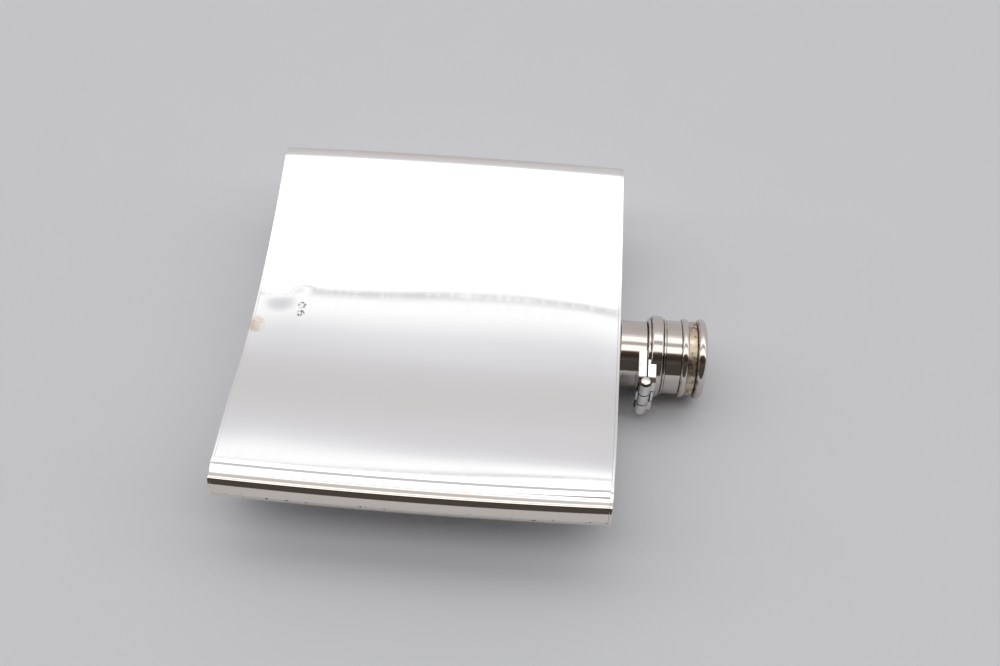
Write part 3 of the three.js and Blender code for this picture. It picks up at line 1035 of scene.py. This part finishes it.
class FLASK_OT_back_panel(bpy.types.Operator):
    """Work the convex lower panel that the flask lies on"""

    bl_idname = "flask.back_panel"
    bl_label = "Back panel"

    def execute(self, context):
        body, _, finish = shapes(context)
        curve = BodyCurve(body)
        piece = panel("back_skin", curve, curve.back(curve.seam), False)
        give_wall(piece, body.wall)
        material = material_of(body_silver, "sheet_silver", finish)
        place_piece(piece, "flask_body", "polished_silver", material, "back_panel")
        return {"FINISHED"}


class FLASK_OT_end_plates(bpy.types.Operator):
    """Cut the flat base plate and the swelled shoulder plate with the neck's hole"""

    bl_idname = "flask.end_plates"
    bl_label = "End plates"

    def execute(self, context):
        body, neck, finish = shapes(context)
        curve = BodyCurve(body)
        material = material_of(body_silver, "sheet_silver", finish)
        base = plate("base_sheet", curve, BASE_X, PLATE)
        soften(base, body.edge_round, 50)
        smooth(base)
        place_piece(base, "flask_body", "polished_silver", material, "base_plate")
        shoulder = plate("shoulder_sheet", curve, SHOULDER_X - body.shoulder_bulge, -PLATE)
        bulge_plate(shoulder, body, SHOULDER_STRIPS)
        neck_line = Vector((0, 0, NECK_AXIS_Z))
        hole_radius = neck.neck_radius + JOIN_GAP
        low, high = SHOULDER_X - HOLE_REACH, SHOULDER_X + HOLE_REACH
        hole = bar("X", neck_line, hole_radius, low, high, HOLE_SIDES)
        combine(shoulder, hole, "DIFFERENCE")
        soften(shoulder, body.edge_round, 50)
        smooth(shoulder)
        place_piece(shoulder, "flask_body", "polished_silver", material, "shoulder_plate")
        return {"FINISHED"}


class FLASK_OT_neck(bpy.types.Operator):
    """Turn the neck with its foot and its rolled mouth"""

    bl_idname = "flask.neck"
    bl_label = "Neck"

    def execute(self, context):
        _, neck, finish = shapes(context)
        bore = neck.neck_radius - neck.neck_wall
        foot = SHOULDER_X - PLATE - JOIN_GAP
        foot_low = foot - neck.foot_thickness
        lip = neck.neck_wall / 2
        mouth = arc((NECK_END - lip, bore + lip), lip, 90, -90, 12)
        rim = [(foot_low, neck.neck_radius + JOIN_GAP), (foot, neck.neck_radius)]
        piece = turned("neck_pipe", [(foot_low, bore), *rim, *mouth], neck.turn_steps)
        material = material_of(inner_silver, "unpolished_silver", finish)
        place_piece(piece, "flask_body", "inner_silver", material, "neck_tube")
        return {"FINISHED"}


class FLASK_OT_sleeve(bpy.types.Operator):
    """Turn the sleeve that the bayonet cap is locked with"""

    bl_idname = "flask.sleeve"
    bl_label = "Turning sleeve"

    def execute(self, context):
        _, neck, finish = shapes(context)
        mouth_bore = neck.neck_radius + RUN_GAP
        profile = [
            (SLEEVE_START, SLEEVE_BORE),
            (SLEEVE_START, SLEEVE_RADIUS),
            (SLEEVE_END, SLEEVE_RADIUS),
            (SLEEVE_END, mouth_bore),
            (SLEEVE_FLANGE_START, mouth_bore),
            (SLEEVE_FLANGE_START, SLEEVE_BORE),
        ]
        piece = turned("sleeve_shell", profile, neck.turn_steps, neck.edge_round)
        material = material_of(cap_silver, "turned_silver", finish)
        place_piece(piece, "sleeve", "cap_silver", material, "turning_sleeve")
        return {"FINISHED"}


class FLASK_OT_cap(bpy.types.Operator):
    """Turn the cap's barrel, its four rings and its rolled top"""

    bl_idname = "flask.cap"
    bl_label = "Cap"

    def execute(self, context):
        _, neck, finish = shapes(context)
        material = material_of(cap_silver, "turned_silver", finish)
        steps = neck.turn_steps
        profile = tube_profile(CAP_BORE, CAP_RADIUS, CAP_START, BARREL_END)
        barrel = turned("cap_shell", profile, steps, neck.edge_round)
        place_piece(barrel, "cap", "cap_silver", material, "cap_barrel")
        for node in ("cap_lip_ring", "cap_fillet_ring", "cap_bead"):
            start, end = span(node, 0)
            profile = half_round(CAP_RADIUS + JOIN_GAP / 2, turned_radius(node), start, end)
            ring = turned(node + "_round", profile, steps)
            place_piece(ring, "cap", "cap_silver", material, node)
        band = turned("cap_band_wide", band_profile(neck), steps, neck.edge_round)
        place_piece(band, "cap", "cap_silver", material, "cap_band")
        top = turned("cap_top_rolled", top_profile(neck), steps)
        place_piece(top, "cap", "cap_silver", material, "cap_top")
        return {"FINISHED"}


def band_profile(neck):
    bore = CAP_RADIUS + JOIN_GAP / 2
    edge = neck.band_edge
    return [
        (BAND_START, bore),
        (BAND_START, BAND_RADIUS - edge),
        (BAND_START + edge, BAND_RADIUS),
        (BAND_END - edge, BAND_RADIUS),
        (BAND_END, BAND_RADIUS - edge),
        (BAND_END, bore),
    ]


def top_profile(neck):
    """The rolled edge and low dome of the cap's top, closed on the axis."""
    start, end = span("cap_top", 0)
    edge_end = start + neck.top_edge
    roll = neck.top_edge / 2
    root = turned_radius("cap_top") - roll
    rise = end - edge_end
    rolled = arc((start + roll, root), roll, 180, 0, 20)
    dome_radius = (root**2 + rise**2) / (2 * rise)
    half_angle = math.degrees(math.asin(root / dome_radius))
    dome = arc((end - dome_radius, 0), dome_radius, half_angle, 0, 24)
    underside = [(end - neck.top_wall, 0), (edge_end - neck.top_wall, CAP_BORE)]
    return [(start, CAP_BORE), *rolled, *dome[1:], *underside]


class FLASK_OT_cork(bpy.types.Operator):
    """Cut the cork disc that seals the neck"""

    bl_idname = "flask.cork"
    bl_label = "Cork"

    def execute(self, context):
        _, neck, finish = shapes(context)
        start, end = span("cork_seal", 0)
        radius = turned_radius("cork_seal")
        profile = [(start, 0), (start, radius), (end, radius), (end, 0)]
        piece = turned("cork_disc", profile, neck.turn_steps, CORK_EDGE)
        material = material_of(cork_grain, "cork_grain", finish)
        place_piece(piece, "cap", "cork", material, "cork_seal")
        return {"FINISHED"}


class FLASK_OT_hinge(bpy.types.Operator):
    """Make the two hinge leaves and the pin with its domed heads"""

    bl_idname = "flask.hinge"
    bl_label = "Hinge"

    def execute(self, context):
        _, neck, finish = shapes(context)
        material = hinge_silver(finish, neck)
        sleeve_ring = (SLEEVE_RADIUS + JOIN_GAP / 2, SLEEVE_START, CAP_START)
        sleeve_leaf = hinge_leaf(
            "sleeve_leaf", SLEEVE_END - neck.leaf_thickness, [sleeve_ring], [1], [0, 2], neck
        )
        place_piece(sleeve_leaf, "sleeve", "hinge_silver", material, "sleeve_hinge_leaf")
        lip = (turned_radius("cap_lip_ring") + JOIN_GAP / 2, SLEEVE_START, BARREL_END)
        band = (BAND_RADIUS + JOIN_GAP / 2, BAND_START - JOIN_GAP, BARREL_END)
        cap_leaf = hinge_leaf("cap_leaf", CAP_START + JOIN_GAP, [lip, band], [0, 2], [1], neck)
        place_piece(cap_leaf, "cap", "hinge_silver", material, "cap_hinge_leaf")
        pin = hinge_pin(neck)
        place_piece(pin, "sleeve", "hinge_silver", material, "hinge_pin")
        return {"FINISHED"}


def hinge_pin(neck):
    """The pin, spun about its own axis, with slightly domed heads."""
    dome = neck.pin_head * 0.4
    steps = 8
    crown = []
    for i in range(steps + 1):
        radius = PIN_HEAD_RADIUS * i / steps
        crown.append((radius, PIN_HIGH - dome * (radius / PIN_HEAD_RADIUS) ** 3))
    foot = [(radius, PIN_LOW + PIN_HIGH - z) for radius, z in reversed(crown)]
    neck_high = PIN_HIGH - neck.pin_head
    neck_low = PIN_LOW + neck.pin_head
    shank = [
        (PIN_HEAD_RADIUS, neck_high),
        (neck.pin_radius, neck_high),
        (neck.pin_radius, neck_low),
        (PIN_HEAD_RADIUS, neck_low),
    ]
    profile = [Vector((PIN[0] + radius, PIN[1], z)) for radius, z in [*crown, *shank, *foot]]
    piece = outlined("pin_with_heads", profile)
    bpy.ops.mesh.spin(steps=48, angle=2 * math.pi, center=(PIN[0], PIN[1], 0), axis=(0, 0, 1))
    close_up()
    smooth(piece)
    return piece


class FLASK_OT_inner_finish(bpy.types.Operator):
    """Give the pieces that stay as they are their finish"""

    bl_idname = "flask.inner_finish"
    bl_label = "Finish the inner pieces"

    def execute(self, context):
        _, _, finish = shapes(context)
        material = material_of(inner_silver, "unpolished_silver", finish)
        for name in ("stop_collar", "sleeve_retainer", "upper_lug", "lower_lug", "bayonet_liner"):
            node = frame["nodes"][name]
            node.data.materials.clear()
            node.data.materials.append(material)
        return {"FINISHED"}


# ---- Panel and registration ----

OPERATORS = (
    FLASK_OT_stage,
    FLASK_OT_front_panel,
    FLASK_OT_back_panel,
    FLASK_OT_end_plates,
    FLASK_OT_neck,
    FLASK_OT_sleeve,
    FLASK_OT_cap,
    FLASK_OT_cork,
    FLASK_OT_hinge,
    FLASK_OT_inner_finish,
)


class FLASK_PT_sidebar(bpy.types.Panel):
    """Lists the flask's pieces in the order that they are made"""

    bl_label = "Flask"
    bl_idname = "FLASK_PT_sidebar"
    bl_space_type = "VIEW_3D"
    bl_region_type = "UI"
    bl_category = "Flask"

    def draw(self, context):
        for operator in OPERATORS:
            self.layout.operator(operator.bl_idname)


GROUPS = {
    "flask_body": FlaskBodyShape,
    "flask_neck": FlaskNeckShape,
    "flask_finish": FlaskFinish,
    "flask_stage": FlaskStage,
}


def register():
    for group in GROUPS.values():
        bpy.utils.register_class(group)
    for name, group in GROUPS.items():
        setattr(bpy.types.Scene, name, PointerProperty(type=group))
    for operator in OPERATORS:
        bpy.utils.register_class(operator)
    bpy.utils.register_class(FLASK_PT_sidebar)


def unregister():
    bpy.utils.unregister_class(FLASK_PT_sidebar)
    for operator in reversed(OPERATORS):
        bpy.utils.unregister_class(operator)
    for name in GROUPS:
        delattr(bpy.types.Scene, name)
    for group in GROUPS.values():
        bpy.utils.unregister_class(group)


def main():
    register()
    bpy.ops.flask.stage()
    bpy.ops.flask.front_panel()
    bpy.ops.flask.back_panel()
    bpy.ops.flask.end_plates()
    bpy.ops.flask.neck()
    bpy.ops.flask.sleeve()
    bpy.ops.flask.cap()
    bpy.ops.flask.cork()
    bpy.ops.flask.hinge()
    bpy.ops.flask.inner_finish()


if __name__ == "__main__":
    main()
